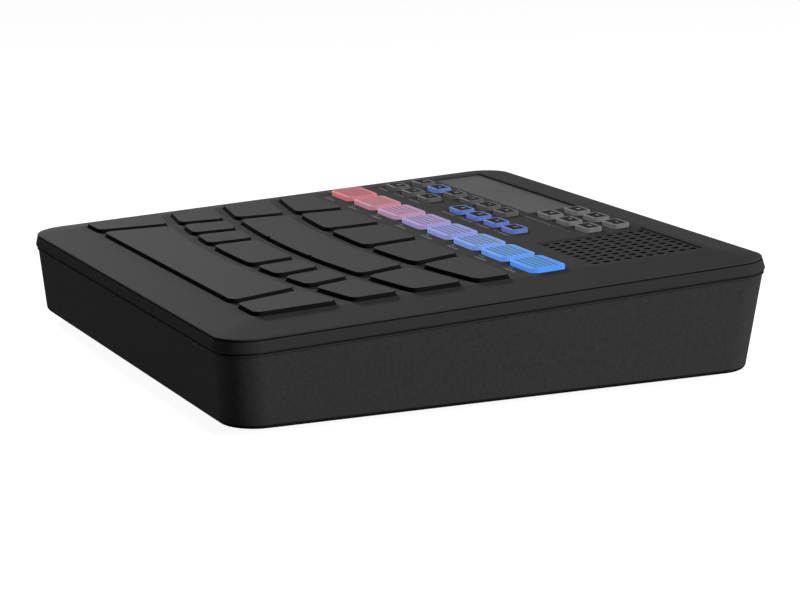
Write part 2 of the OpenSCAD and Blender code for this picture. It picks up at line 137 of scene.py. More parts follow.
# Openings in the rear wall: holes as (x, z, radius), slots as (x, z, width, height, corner radius)
BOARD_STAND, BOARD_T = 6, 1.6
BOARD_TOP = FLOOR_Z + BOARD_STAND + BOARD_T
REAR_HOLES = [(x, BOARD_TOP + 3.2, 3.3) for x in (-18, -42)]
REAR_SLOTS = [(-78, BOARD_TOP + 6, 20, 5, 0.6), (38, BOARD_TOP + 2.9, 14, 6.4, 0.6),
              (62, BOARD_TOP + 1.6, 9.8, 3.8, 1.85), (86, BOARD_TOP + 2.5, 10, 3.6, 0.5)]
OPENING_ROUND = 0.25

# Recesses in the bottom: those of the feet as (radius, depth) rings, and those of the case screws
FOOT_PLACES = [(x, y) for x in (-88, 88) for y in (-84, 84)]
FOOT_RECESS = ((8.35, 0), (8.1, 0.25), (8.1, 0.6))
SCREW_PLACES = [(x, y) for x in (-108, 108) for y in (-84, 2, 86)]
SCREW_HEAD_R, SCREW_HEAD_DEPTH, SCREW_HEAD_EDGE = 3.2, 3, 0.3
SCREW_R = 1.65
POST_R = 4.2
POST_DROP = 14


def on_deck(x, y, w):
    """A point of the tilted deck frame, w above the rim plane, in the row frame."""
    c, s = math.cos(DECK_TILT), math.sin(DECK_TILT)
    return Vector((x, y * c - w * s, DECK_Z + y * s + w * c))


# Camera

CAMERA_AT = Vector((939.23, -408.42, 235.49))
CAMERA_BACK = Vector((0.89406, -0.39696, 0.20756)).normalized()
CAMERA_ROLL = math.radians(-0.503)
FOCAL_PX = 2624.35
FRAME_PX = 800
SENSOR_W = 36


def make_camera():
    flat = Vector((-CAMERA_BACK.y, CAMERA_BACK.x, 0)).normalized()
    up = CAMERA_BACK.cross(flat)
    right = flat * math.cos(CAMERA_ROLL) + up * math.sin(CAMERA_ROLL)
    up = CAMERA_BACK.cross(right)
    data = bpy.data.cameras.new("camera")
    data.sensor_width = SENSOR_W
    data.lens = SENSOR_W * FOCAL_PX / FRAME_PX
    data.clip_start, data.clip_end = 0.01, 30
    camera = bpy.data.objects.new("camera", data)
    turn = Matrix((right, up, CAMERA_BACK)).transposed().to_4x4()
    camera.matrix_world = Matrix.Translation(CAMERA_AT * MM) @ turn
    bpy.context.scene.collection.objects.link(camera)
    bpy.context.scene.camera = camera


# Outlines, as lists of (x, y) that run counterclockwise

ROUND_STEPS = 8
BUTTON_STEPS = 6
BOX_STEPS = 5
BOX_R, BOX_LEAST_R = 1.0, 0.2
CASE_STEPS = 12
BOW_STEP = 5


def arc(cx, cy, r, start, turn, steps=ROUND_STEPS):
    """Points on a round stretch about (cx, cy) that begins at the angle start and goes on by turn."""
    angles = [math.radians(start + turn * i / steps) for i in range(steps + 1)]
    return [(cx + r * math.cos(a), cy + r * math.sin(a)) for a in angles]


def rounded_rect(x0, y0, x1, y1, r, steps=ROUND_STEPS, side_steps=1):
    corners = ((x1 - r, y0 + r, 270), (x1 - r, y1 - r, 0), (x0 + r, y1 - r, 90), (x0 + r, y0 + r, 180))
    points = []
    for i, (cx, cy, start) in enumerate(corners):
        points += arc(cx, cy, r, start, 90, steps)
        nx, ny, nstart = corners[(i + 1) % 4]
        ax, ay = points[-1]
        bx, by = arc(nx, ny, r, nstart, 90, 1)[0]
        for k in range(1, side_steps):
            points.append((ax + (bx - ax) * k / side_steps, ay + (by - ay) * k / side_steps))
    return points


def circle(cx, cy, r, steps):
    return arc(cx, cy, r, 0, 360, steps)[:-1]


def bar(x, y, w, d):
    """A plain rectangle centred at x and y."""
    left, right, front, rear = x - w / 2, x + w / 2, y - d / 2, y + d / 2
    return [(left, front), (right, front), (right, rear), (left, rear)]


def offset(points, d):
    """The outline moved outwards by d, or inwards where d is negative."""
    if d == 0:
        return list(points)
    out = []
    for i, (x, y) in enumerate(points):
        px, py = points[i - 1]
        nx, ny = points[(i + 1) % len(points)]
        a = Vector((y - py, px - x)).normalized()
        b = Vector((ny - y, x - nx)).normalized()
        m = (a + b).normalized()
        k = d / max(m.dot(a), 0.5)
        out.append((x + m.x * k, y + m.y * k))
    return out


def between(a, b, t):
    """The outline a share t of the way from the outline a to the outline b."""
    return [(ax + (bx - ax) * t, ay + (by - ay) * t) for (ax, ay), (bx, by) in zip(a, b)]


def inside(point, loop):
    x, y = point
    hit = False
    for i, (ax, ay) in enumerate(loop):
        bx, by = loop[i - 1]
        if (ay > y) != (by > y) and x < (bx - ax) * (y - ay) / (by - ay) + ax:
            hit = not hit
    return hit


def edge_y(edge, x):
    """Where a row's edge lies at x. An edge is (y in the middle, bow radius), radius 0 if straight."""
    y, r = edge
    return y if r == 0 else y + r - math.sqrt(r * r - x * x)


def edge_slope(edge, x):
    return 0 if edge[1] == 0 else x / math.sqrt(edge[1] ** 2 - x * x)


def side_x(side, y):
    """Where a pad's side lies at y. A side is (lean, shift)."""
    return side[0] * (LANE_FOCUS - y) + side[1]


def meet(side, edge):
    """The point where a side and an edge cross, found in a few steps."""
    y = edge[0]
    for _ in range(8):
        y = edge_y(edge, side_x(side, y))
    return Vector((side_x(side, y), y))


def rounded_corner(v, a, b, r):
    """The round corner at v between the directions a and b of its two sides."""
    half = a.angle(b) / 2
    c = v + (a + b).normalized() * r / math.sin(half)
    p = v + a * r / math.tan(half) - c
    turn = 180 - 2 * math.degrees(half)
    return arc(c.x, c.y, r, math.degrees(math.atan2(p.y, p.x)), turn)


def pad_cells():
    """The drum pads' cells as (front edge, rear edge, left side, right side), in their names' order."""
    cells = []
    for r, lanes in enumerate(ROW_LANES):
        front = (ROW_FRONTS[r], 0 if r == len(ROW_FRONTS) - 1 else BOW_R)
        rear = (FIELD_REAR, 0) if r == 0 else (ROW_FRONTS[r - 1] - PAD_GAP, BOW_R)
        lean = [math.tan(math.radians(k * LANE_ANGLE)) for k in lanes]
        for i in range(len(lanes) + 1):
            left = (0, -PAD_REACH) if i == 0 else (lean[i - 1], PAD_GAP / 2)
            right = (0, PAD_REACH) if i == len(lanes) else (lean[i], -PAD_GAP / 2)
            cells.append((front, rear, left, right))
    return cells


def along(edge, x0, x1, notches=()):
    """Points along a bowed edge between two places, with a dent at each notch."""
    if edge[1] == 0:
        return []
    n = max(2, math.ceil(abs(x1 - x0) / BOW_STEP))
    points = []
    for i in range(n + 1):
        x = x0 + (x1 - x0) * i / n
        if all(abs(x - k) > NOTCH_R * NOTCH_REACH for k in notches):
            points.append((x, edge_y(edge, x)))
    for k in notches:
        y = edge_y(edge, k)
        points += [(k + dx * NOTCH_R, y + dy * NOTCH_R) for dx, dy in DENT]
    return sorted(points, key=lambda p: p[0] if x1 > x0 else -p[0])


def cell_outline(cell, notches=()):
    front, rear, left, right = cell
    fl, fr, br, bl = meet(left, front), meet(right, front), meet(right, rear), meet(left, rear)
    # How far from a corner the points along a bowed edge begin
    keep = PAD_CORNER + 1

    def way(edge, x, sign):
        return Vector((sign, sign * edge_slope(edge, x))).normalized()

    return (
        rounded_corner(fl, (bl - fl).normalized(), way(front, fl.x, 1), PAD_CORNER)
        + along(front, fl.x + keep, fr.x - keep, notches)
        + rounded_corner(fr, way(front, fr.x, -1), (br - fr).normalized(), PAD_CORNER)
        + rounded_corner(br, (fr - br).normalized(), way(rear, br.x, -1), PAD_CORNER)
        + along(rear, br.x - keep, bl.x + keep)
        + rounded_corner(bl, way(rear, bl.x, 1), (fl - bl).normalized(), PAD_CORNER)
    )


PAD_CELLS = pad_cells()
LIGHT_PLACES = [((k - (LIGHT_COUNT - 1) / 2) * LIGHT_PITCH, LIGHT_Y) for k in range(LIGHT_COUNT)]
BUTTON_PLACES = [
    (BUTTON_ORIGIN[0] + c * BUTTON_PITCH[0], BUTTON_ORIGIN[1] + r * BUTTON_PITCH[1])
    for r, columns in enumerate(BUTTON_COLUMNS) for c in columns
]


def centred_rect(place, w, d, r, steps=ROUND_STEPS):
    x, y = place
    return rounded_rect(x - w / 2, y - d / 2, x + w / 2, y + d / 2, r, steps)


def light_outline(place):
    return centred_rect(place, LIGHT_W, LIGHT_D, LIGHT_R)


def button_outline(place):
    return centred_rect(place, BUTTON_W, BUTTON_D, BUTTON_R, BUTTON_STEPS)


def key_outlines():
    """The outlines that the keys' openings follow. The notched pad's opening has no dents."""
    return (
        [cell_outline(cell) for cell in PAD_CELLS]
        + [light_outline(place) for place in LIGHT_PLACES]
        + [button_outline(place) for place in BUTTON_PLACES]
    )


def case_outline(inset):
    """The case's outline in the deck frame."""
    a, b = BODY_W / 2 - inset, DECK_D / 2 - inset
    return rounded_rect(-a, -b, a, b, CORNER_R - inset / 2, CASE_STEPS, CASE_STEPS)


def level_outline(inset):
    """The outline of the case's bottom edge, which is level."""
    a, b = BODY_W / 2 - BOTTOM_INSET - inset, BODY_D / 2 - inset
    return rounded_rect(-a, BOTTOM_INSET - b, a, b - REAR_INSET, CORNER_R - inset, CASE_STEPS, CASE_STEPS)


def deck_outline(grow):
    """The flat deck's outline, moved outwards by grow."""
    left, right = -DECK_X - grow, DECK_X + grow
    front, rear = DECK_FRONT - grow, DECK_REAR + grow
    return rounded_rect(left, front, right, rear, DECK_CORNER, CASE_STEPS, CASE_STEPS)


def box_outline(box, grow=0.0):
    """A display's or grille's outline, with slightly rounded corners."""
    x, y, w, d = box
    r = max(BOX_R + grow, BOX_LEAST_R)
    return rounded_rect(x - grow, y - grow, x + w + grow, y + d + grow, r, BOX_STEPS)


def grille_places():
    x0 = GRILLE[0] + (GRILLE[2] - (GRILLE_COUNT[0] - 1) * GRILLE_PITCH[0]) / 2
    y0 = GRILLE[1] + (GRILLE[3] - (GRILLE_COUNT[1] - 1) * GRILLE_PITCH[1]) / 2
    return [(x0 + i * GRILLE_PITCH[0], y0 + j * GRILLE_PITCH[1])
            for i in range(GRILLE_COUNT[0]) for j in range(GRILLE_COUNT[1])]


# Meshes, built ring by ring

SHARP_ANGLE = math.radians(34)
MERGE_DISTANCE = 1e-7


class Build:
    """A mesh in the making. Points are given in millimetres in the row frame."""

    def __init__(self):
        self.bm = bmesh.new()

    def ring(self, points):
        return [self.bm.verts.new(Vector(p) * MM) for p in points]

    def deck_ring(self, outline, w):
        return self.ring([on_deck(x, y, w) for x, y in outline])

    def loft(self, rings, slot=0, skip=()):
        """Faces between each ring and the next. skip holds the places in a ring where no face is made."""
        for a, b in zip(rings, rings[1:]):
            n = len(a)
            for i in range(n):
                j = (i + 1) % n
                if i in skip:
                    continue
                face = self.bm.faces.new((a[i], a[j], b[j], b[i]))
                face.material_index = slot

    def cap(self, ring, slot=0):
        face = self.bm.faces.new(ring)
        face.material_index = slot

    def prism(self, outline, low, high, slot=0):
        """A thin closed plate that stands on the deck or on a key, such as a printed mark."""
        rings = [self.deck_ring(outline, low), self.deck_ring(outline, high)]
        self.cap(rings[0], slot)
        self.loft(rings, slot)
        self.cap(rings[1], slot)

    def fill(self, outer, holes, flat, slot=0):
        """Triangles between an outer ring and its holes, in one plane. flat turns a vertex into (x, y)."""
        verts, edges, loops = [], [], []
        for ring in [outer, *holes]:
            start = len(verts)
            verts += ring
            n = len(ring)
            edges += [(start + i, start + (i + 1) % n) for i in range(n)]
            loops.append([flat(v) for v in ring])
        flats = [Vector(flat(v)) for v in verts]
        points, _, faces, origin, _, _ = delaunay_2d_cdt(flats, edges, [], 0, MERGE_DISTANCE)
        for f in faces:
            c = sum((points[k] for k in f), Vector((0, 0))) / 3
            if inside(c, loops[0]) and not any(inside(c, loop) for loop in loops[1:]):
                corners = [verts[origin[k][0]] for k in f]
                face = self.bm.faces.new(corners)
                face.material_index = slot

    def done(self, name, body, materials, replaces=(), crisp=False):
        """Makes the object. A crisp one has flat faces, another is smooth between its sharp edges."""
        bmesh.ops.recalc_face_normals(self.bm, faces=self.bm.faces)
        for face in self.bm.faces:
            face.smooth = not crisp
        for edge in self.bm.edges:
            if len(edge.link_faces) == 2 and edge.calc_face_angle(0) > SHARP_ANGLE:
                edge.smooth = False
        mesh = bpy.data.meshes.new(name)
        self.bm.to_mesh(mesh)
        self.bm.free()
        obj = bpy.data.objects.new(name, mesh)
        bpy.context.scene.collection.objects.link(obj)
        for material in materials:
            mesh.materials.append(material)
        if not crisp:
            weighted = obj.modifiers.new("weighted", "WEIGHTED_NORMAL")
            weighted.keep_sharp = True
        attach(obj, body)
        if replaces:
            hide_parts(*replaces)


def deck_flat(v):
    """A deck vertex as a flat point, in millimetres."""
    c, s = math.cos(DECK_TILT), math.sin(DECK_TILT)
    return (v.co.x / MM, v.co.y / MM * c + (v.co.z / MM - DECK_Z) * s)


def rear_flat(v):
    """A vertex of the rear wall as a flat point, seen from behind, in millimetres."""
    return (-v.co.x / MM, v.co.z / MM)


def bottom_flat(v):
    """A vertex of a level face as a flat point, in millimetres."""
    return (v.co.x / MM, v.co.y / MM)


def fillet(outline, r, w_top, steps=4):
    """Outlines and heights of a rounded edge that ends flat at w_top, from the wall upwards."""
    rows = []
    for i in range(steps + 1):
        a = math.pi / 2 * i / steps
        rows.append((offset(outline, -r * (1 - math.cos(a))), w_top - r * (1 - math.sin(a))))
    return rows


# Materials

# How far a plastic's roughness varies, and the width of the slow drifts in its colour
ROUGH_SPREAD = 0.05
DRIFT_GRAIN = 26
# How much of its lit colour a translucent key shows as plain surface colour
LIT_BODY = 0.3


def principled(name):
    material = bpy.data.materials.new(name)
    material.use_nodes = True
    nodes = material.node_tree.nodes
    return material, nodes, material.node_tree.links, nodes["Principled BSDF"]


def calculate(nodes, links, operation, *values):
    """One step of arithmetic, on sockets or on plain numbers."""
    step = nodes.new("ShaderNodeMath")
    step.operation = operation
    for place, value in enumerate(values):
        if isinstance(value, bpy.types.NodeSocket):
            links.new(value, step.inputs[place])
        else:
            step.inputs[place].default_value = value
    return step.outputs[0]


def object_coordinates(nodes, links, scale):
    place = nodes.new("ShaderNodeTexCoord")
    mapping = nodes.new("ShaderNodeMapping")
    mapping.inputs["Scale"].default_value = (scale, scale, scale)
    links.new(place.outputs["Object"], mapping.inputs["Vector"])
    return mapping.outputs["Vector"]


def noise(nodes, links, grain, detail=2.0, roughness=0.5):
    """A noise whose features are about grain millimetres wide."""
    texture = nodes.new("ShaderNodeTexNoise")
    texture.inputs["Scale"].default_value = 1.0
    texture.inputs["Detail"].default_value = detail
    texture.inputs["Roughness"].default_value = roughness
    links.new(object_coordinates(nodes, links, 1 / (grain * MM)), texture.inputs["Vector"])
    return texture.outputs["Fac"]


def spread(nodes, links, value, low, high):
    """A noise's middle range, spread out between low and high."""
    mapped = nodes.new("ShaderNodeMapRange")
    mapped.inputs["To Min"].default_value = low
    mapped.inputs["To Max"].default_value = high
    mapped.inputs["From Min"].default_value = 0.3
    mapped.inputs["From Max"].default_value = 0.7
    links.new(value, mapped.inputs["Value"])
    return mapped.outputs["Result"]


def tinted(nodes, links, value, first, second):
    """A colour between the first, where value is 0, and the second, where it is 1."""
    mix = nodes.new("ShaderNodeMix")
    mix.data_type = "RGBA"
    mix.inputs["A"].default_value = (*first, 1)
    mix.inputs["B"].default_value = (*second, 1)
    links.new(value, mix.inputs["Factor"])
    return mix.outputs["Result"]


def scaled(colour, factor):
    return tuple(c * factor for c in colour)


def add_bump(nodes, links, shader, height, distance):
    bump = nodes.new("ShaderNodeBump")
    bump.inputs["Strength"].default_value = 0.5
    bump.inputs["Distance"].default_value = distance * MM
    links.new(height, bump.inputs["Height"])
    links.new(bump.outputs["Normal"], shader.inputs["Normal"])


def moulded(name, colour, rough, specular, grain, depth, mottle=0.12, grained=False):
    """Moulded plastic or rubber with a fine grain. Its colour drifts slowly, or follows the grain."""
    material, nodes, links, shader = principled(name)
    slow = noise(nodes, links, DRIFT_GRAIN, detail=3)
    fine = noise(nodes, links, grain, detail=3, roughness=0.6)
    drift = fine if grained else slow
    mottled = tinted(nodes, links, drift, scaled(colour, 1 - mottle), scaled(colour, 1 + mottle))
    roughness = spread(nodes, links, fine, rough - ROUGH_SPREAD, rough + ROUGH_SPREAD)
    links.new(mottled, shader.inputs["Base Color"])
    links.new(roughness, shader.inputs["Roughness"])
    shader.inputs["Specular IOR Level"].default_value = specular
    add_bump(nodes, links, shader, fine, depth)
    return material


def metal(name, colour, rough):
    material, nodes, links, shader = principled(name)
    fine = noise(nodes, links, grain=0.6)
    shader.inputs["Metallic"].default_value = 1
    links.new(tinted(nodes, links, fine, scaled(colour, 0.85), colour), shader.inputs["Base Color"])
    links.new(spread(nodes, links, fine, rough * 0.8, rough * 1.2), shader.inputs["Roughness"])
    return material


def light_up(links, shader, colour, light, glow, specular):
    """Makes a shader shine with a light of its own over a faint body of the colour."""
    shader.inputs["Base Color"].default_value = (*scaled(colour, LIT_BODY), 1)
    links.new(light, shader.inputs["Emission Color"])
    shader.inputs["Emission Strength"].default_value = glow
    shader.inputs["Roughness"].default_value = 0.6
    shader.inputs["Specular IOR Level"].default_value = specular


def glowing(name, colour, glow):
    """Translucent plastic that is lit from inside, a little unevenly."""
    material, nodes, links, shader = principled(name)
    cloud = noise(nodes, links, grain=4.5)
    light = tinted(nodes, links, cloud, scaled(colour, 0.82), colour)
    light_up(links, shader, colour, light, glow, 0.03)
    return material


# The hatch in the light pads' tops: its pitch, where it starts, and how much of it the dark lines take up
HATCH_PITCH = 2.1
HATCH_START = 0.4
HATCH_ACROSS, HATCH_DOWN = 0.42, 0.2


def hatched(name, light, dark, place, glow):
    """The lit face of a light pad, with dark lines across and along it."""
    material, nodes, links, shader = principled(name)
    coordinates = nodes.new("ShaderNodeTexCoord")
    split = nodes.new("ShaderNodeSeparateXYZ")
    links.new(coordinates.outputs["Object"], split.inputs[0])

    def lines(axis, start, share):
        shifted = calculate(nodes, links, "SUBTRACT", split.outputs[axis], start * MM)
        pitches = calculate(nodes, links, "DIVIDE", shifted, HATCH_PITCH * MM)
        part = calculate(nodes, links, "FRACT", pitches)
        return calculate(nodes, links, "LESS_THAN", part, share)

    across = lines("Y", place[1] - LIGHT_D / 2 - HATCH_START, HATCH_ACROSS)
    down = lines("X", place[0] - LIGHT_W / 2 - HATCH_START, HATCH_DOWN)
    either = calculate(nodes, links, "MAXIMUM", across, down)
    light_up(links, shader, light, tinted(nodes, links, either, light, dark), glow, 0.02)
    return material


def smoked_painted_reflection(name, dark, light):
    """Smoked glass with a dull face. Its colour drifts slowly towards a lighter blue-grey, a painted
    reflection.
    """
    material, nodes, links, shader = principled(name)
    slow = noise(nodes, links, grain=40)
    links.new(tinted(nodes, links, slow, dark, light), shader.inputs["Base Color"])
    shader.inputs["Roughness"].default_value = 0.4
    shader.inputs["Specular IOR Level"].default_value = 0.03
    return material


TOP_COLOUR = (0.042, 0.042, 0.043)
# Painted shade: the rim's face is a darker copy of the top's plastic
RIM_PAINTED_SHADE_COLOUR = (0.032, 0.032, 0.033)
# Painted shade: the bottom and the lowest strips of its rounded edge are much darker than the sides
BOTTOM_PAINTED_SHADE_COLOUR = (0.012, 0.012, 0.012)
SIDE_COLOUR = (0.034, 0.034, 0.0355)
PAD_COLOUR = (0.053, 0.053, 0.053)
# Painted shade: near black for the drum pads' walls, the key openings' walls, the grille holes' walls and
# the rim's groove
PAINTED_SHADE_WALL_COLOUR = (0.008, 0.008, 0.008)

# Colours of the light pads' walls and of the fields in their tops, from left to right
LIGHT_COLOURS = [
    (0.57, 0.15, 0.18), (0.49, 0.20, 0.25), (0.43, 0.25, 0.37), (0.32, 0.26, 0.50),
    (0.24, 0.27, 0.62), (0.17, 0.29, 0.67), (0.12, 0.29, 0.76), (0.08, 0.27, 0.83),
]
FIELD_COLOURS = [
    (0.42, 0.13, 0.15), (0.42, 0.17, 0.20), (0.36, 0.19, 0.30), (0.27, 0.21, 0.39),
    (0.20, 0.22, 0.45), (0.14, 0.23, 0.46), (0.09, 0.23, 0.50), (0.07, 0.23, 0.51),
]
FIELD_CONTRAST = [0.2, 0.4, 0.7, 0.8, 0.85, 0.85, 0.85, 0.85]
LIGHT_WALL_GLOW, LIGHT_FACE_GLOW = 0.9, 0.48

BUTTON_GREY, GREY_GLOW = (0.15, 0.15, 0.152), 0.37
BUTTON_PALE, PALE_GLOW = (0.24, 0.24, 0.243), 0.38
BUTTON_BLUE, BLUE_GLOW = (0.115, 0.175, 0.50), 0.75
BUTTON_FACE_COLOUR = (0.014, 0.014, 0.0145)

CASE_FINISH = {"rough": 0.8, "specular": 0.005, "grain": 0.35, "depth": 0.01, "mottle": 0.05}
SIDE_FINISH = {"rough": 0.8, "specular": 0.01, "grain": 1.3, "depth": 0.2, "mottle": 0.3, "grained": True}
RUBBER_FINISH = {"specular": 0.005, "grain": 0.3, "depth": 0.008, "mottle": 0.05}
INK_FINISH = {"rough": 0.7, "specular": 0.02, "grain": 0.4, "depth": 0.002}

top_plastic = moulded("top_plastic", TOP_COLOUR, **CASE_FINISH)
# A darker copy of the top's plastic, painting shade on the rim's face
rim_painted_shade = moulded("rim_painted_shade", RIM_PAINTED_SHADE_COLOUR, **CASE_FINISH)
# Painted shade under the case's lower edge
bottom_painted_shade = moulded("bottom_painted_shade", BOTTOM_PAINTED_SHADE_COLOUR, **CASE_FINISH)
side_plastic = moulded("side_plastic", SIDE_COLOUR, **SIDE_FINISH)
pad_rubber = moulded("pad_rubber", PAD_COLOUR, rough=0.8, **RUBBER_FINISH)
# Painted shade in the gaps round the pads, in the openings and holes, and in the rim's groove
painted_shade_wall = moulded("painted_shade_wall", PAINTED_SHADE_WALL_COLOUR, rough=0.85, **RUBBER_FINISH)
button_grey = glowing("button_grey", BUTTON_GREY, GREY_GLOW)
button_pale = glowing("button_pale", BUTTON_PALE, PALE_GLOW)
button_blue = glowing("button_blue", BUTTON_BLUE, BLUE_GLOW)
button_face = moulded("button_face", BUTTON_FACE_COLOUR, rough=0.7, specular=0.005, grain=0.4, depth=0.005)
print_grey = moulded("print_grey", (0.17, 0.17, 0.165), **INK_FINISH)
icon_white = moulded("icon_white", (0.22, 0.22, 0.22), **INK_FINISH)
# The window's slow drift towards a lighter blue-grey is a painted reflection
window_glass = smoked_painted_reflection("smoked_window", (0.012, 0.012, 0.013), (0.040, 0.041, 0.045))

knob_plastic = moulded("knob_plastic", (0.02, 0.02, 0.022), rough=0.4, specular=0.4, grain=0.3, depth=0.006)
foot_rubber = moulded("foot_rubber", (0.014, 0.014, 0.014), rough=0.8, specular=0.2, grain=0.5, depth=0.02)
board_green = moulded("board_green", (0.02, 0.10, 0.045), rough=0.4, specular=0.4, grain=2.0, depth=0.01,
                      mottle=0.3)
film = moulded("film", (0.25, 0.19, 0.07), rough=0.5, specular=0.3, grain=1.0, depth=0.005)
silicone = moulded("silicone", (0.5, 0.5, 0.48), rough=0.6, specular=0.3, grain=1.0, depth=0.01)
paper_cone = moulded("paper_cone", (0.02, 0.02, 0.02), rough=0.8, specular=0.2, grain=0.7, depth=0.03)
wrap = moulded("wrap", (0.03, 0.07, 0.2), rough=0.35, specular=0.4, grain=6.0, depth=0.02)
panel_dark = moulded("panel_dark", (0.02, 0.022, 0.022), rough=0.3, specular=0.4, grain=3.0, depth=0.002)
steel = metal("steel", (0.5, 0.5, 0.52), rough=0.35)
dark_steel = metal("dark_steel", (0.16, 0.16, 0.17), rough=0.4)


# Case shells

# Material slots: a shell's main finish, its painted shade (near black on the upper shell's groove, opening
# walls and hole walls, dark on the lower shell's bottom and lowest edge strips), and the rim's finish, a
# darker copy of the top's plastic that paints shade on the rim's face
CASE_SLOT, PAINTED_SHADE_SLOT, RIM_SLOT = 0, 1, 2

# The rim's face as (inset, height over the rim plane): its foot, then the groove under its upper edge
RIM_FACE = ((RIM_BASE + 0.3, -RIM_H), (RIM_BASE, -RIM_H + 0.03), (0.13, -RIM_H + 0.4), (0, -RIM_H + 0.9))
RIM_GROOVE = ((0.76, -0.85), (1.15, -0.83), (1.15, -0.40), (0.86, -0.37))
RIM_EDGE_START = (RIM_FLARE - 0.05, -0.35)
RIM_EDGE_STEPS = 6

# The margin as (share of the way to the deck, height over a straight slope), and the crease that ends it
CREASE = 0.09
MARGIN_ROWS = ((0.3, 0), (0.6, 0), (1 - CREASE, 0), (1 - CREASE / 2, -0.02), (1, -0.05))
DECK_EDGE_ROWS = ((0.25, 0.012), (0.5, 0))
INNER_BEND = 0.5

# The rounded edge of a recess in the deck, as (growth, depth) from the deck down
RECESS_EDGE = ((0.2, 0), (0.05, 0.05), (0, 0.2))
# Where the middle ring of any other opening's rounded edge lies, as a share of the edge
EDGE_MIDDLE = 0.3
GRILLE_STEPS = 20


def deck_rings(build, rows):
    return [build.deck_ring(case_outline(inset), w) for inset, w in rows]


def outer_skin(build):
    """The skin from the rim's foot, over its edge and the margin, to the deck. Returns both end rings."""
    rings = deck_rings(build, (*RIM_FACE, *RIM_GROOVE))
    groove, edge = len(RIM_FACE), len(rings)
    turn = math.pi / 2 - math.atan(DECK_TOP / MARGIN_RUN)
    for i in range(RIM_EDGE_STEPS + 1):
        a = turn * i / RIM_EDGE_STEPS
        inset = RIM_EDGE_START[0] + RIM_EDGE_R * (1 - math.cos(a))
        rim_w = RIM_EDGE_START[1] + RIM_EDGE_R * math.sin(a)
        rings.append(build.deck_ring(case_outline(inset), rim_w))
    rim_edge, deck_edge = case_outline(inset), deck_outline(0)
    for share, lift in MARGIN_ROWS:
        w = rim_w + (DECK_TOP - rim_w) * share + lift
        rings.append(build.deck_ring(between(rim_edge, deck_edge, share), w))
    for inset, drop in DECK_EDGE_ROWS:
        rings.append(build.deck_ring(deck_outline(-inset), DECK_TOP - drop))
    # The rim's face and the foot of its edge take the rim's darker colour: painted shade
    build.loft(rings[:groove + 1], RIM_SLOT)
    # The groove under the rim's upper edge is near black: painted shade
    build.loft(rings[groove:edge], PAINTED_SHADE_SLOT)
    build.loft(rings[edge - 1:edge + 2], RIM_SLOT)
    build.loft(rings[edge + 1:], CASE_SLOT)
    return rings[0], rings[-1]


def inner_skin(build, foot):
    """The skin from the rim's foot up to the deck's underside. Returns its last ring."""
    rings = deck_rings(build, ((RIM_INNER, -RIM_H), (RIM_FLARE + WALL, -INNER_BEND - WALL),
                               (RIM_FLARE + WALL + INNER_BEND, -WALL)))
    rings.append(build.deck_ring(deck_outline(-WALL / 4), DECK_UNDER))
    build.loft([foot, *rings])
    return rings[-1]


def key_opening(build, outline):
    middle = EDGE_MIDDLE * OPENING_EDGE
    rows = ((KEY_CLEAR + OPENING_EDGE, DECK_TOP), (KEY_CLEAR + middle, DECK_TOP - middle),
            (KEY_CLEAR, DECK_TOP - OPENING_EDGE), (KEY_CLEAR, DECK_UNDER))
    rings = [build.deck_ring(offset(outline, grow), w) for grow, w in rows]
    build.loft(rings[:3])
    # The opening's lower wall is near black: painted shade in the gap round the key
    build.loft(rings[2:], PAINTED_SHADE_SLOT)
    return rings[0], rings[-1]


def recess_edge(build, box):
    return [build.deck_ring(box_outline(box, grow), DECK_TOP - drop) for grow, drop in RECESS_EDGE]


def display_recess(build):
    """A recess with a ledge for the window."""
    window_low = DECK_TOP - DISPLAY_SINK - WINDOW_T
    rings = [*recess_edge(build, DISPLAY),
             build.deck_ring(box_outline(DISPLAY), window_low),
             build.deck_ring(box_outline(DISPLAY, -DISPLAY_LEDGE), window_low),
             build.deck_ring(box_outline(DISPLAY, -DISPLAY_LEDGE), DECK_UNDER)]
    build.loft(rings)
    return rings[0], rings[-1]


def grille_hole(build, x, y, top):
    soft = circle(x, y, GRILLE_HOLE_R + GRILLE_HOLE_EDGE, GRILLE_STEPS)
    wall = circle(x, y, GRILLE_HOLE_R, GRILLE_STEPS)
    rings = [build.deck_ring(soft, top), build.deck_ring(wall, top - GRILLE_HOLE_EDGE),
             build.deck_ring(wall, DECK_UNDER)]
    build.loft(rings[:2])
    # The hole's wall is near black: painted shade
    build.loft(rings[1:], PAINTED_SHADE_SLOT)
    return rings[0], rings[-1]


def make_upper_case():
    build = Build()
    foot, top = outer_skin(build)
    under = inner_skin(build, foot)
    openings = [key_opening(build, outline) for outline in key_outlines()]
    openings.append(display_recess(build))
    field_w = DECK_TOP - GRILLE_SINK
    field = [*recess_edge(build, GRILLE), build.deck_ring(box_outline(GRILLE), field_w)]
    build.loft(field)
    holes = [grille_hole(build, x, y, field_w) for x, y in grille_places()]
    build.fill(field[-1], [high for high, low in holes], deck_flat)
    build.fill(top, [*(high for high, low in openings), field[0]], deck_flat)
    build.fill(under, [low for high, low in (*openings, *holes)], deck_flat)
    build.done("upper_case_shell", "case", [top_plastic, painted_shade_wall, rim_painted_shade], ["upper_case"])


BOTTOM_STEPS = 5
HOLE_STEPS = 32
FOOT_STEPS = 40
# How many of the bottom's rounded strips take the bottom's dark colour, painted shade under the case's edge
PAINTED_SHADE_STRIPS = 4
# Where the straight rear side lies in a ring of the case. A corner and a side have 2 * CASE_STEPS points.
REAR_STRETCH = range(3 * CASE_STEPS, 4 * CASE_STEPS)


def round_rings(build, inset, low, edge_r):
    """Rings of the case's rounded lower edge, from its level face upwards."""
    rings = []
    for i in range(BOTTOM_STEPS + 1):
        a = math.pi / 2 * i / BOTTOM_STEPS
        z = low + edge_r * (1 - math.cos(a))
        outline = level_outline(inset + edge_r * (1 - math.sin(a)))
        rings.append(build.ring([Vector((x, y, z)) for x, y in outline]))
    return rings


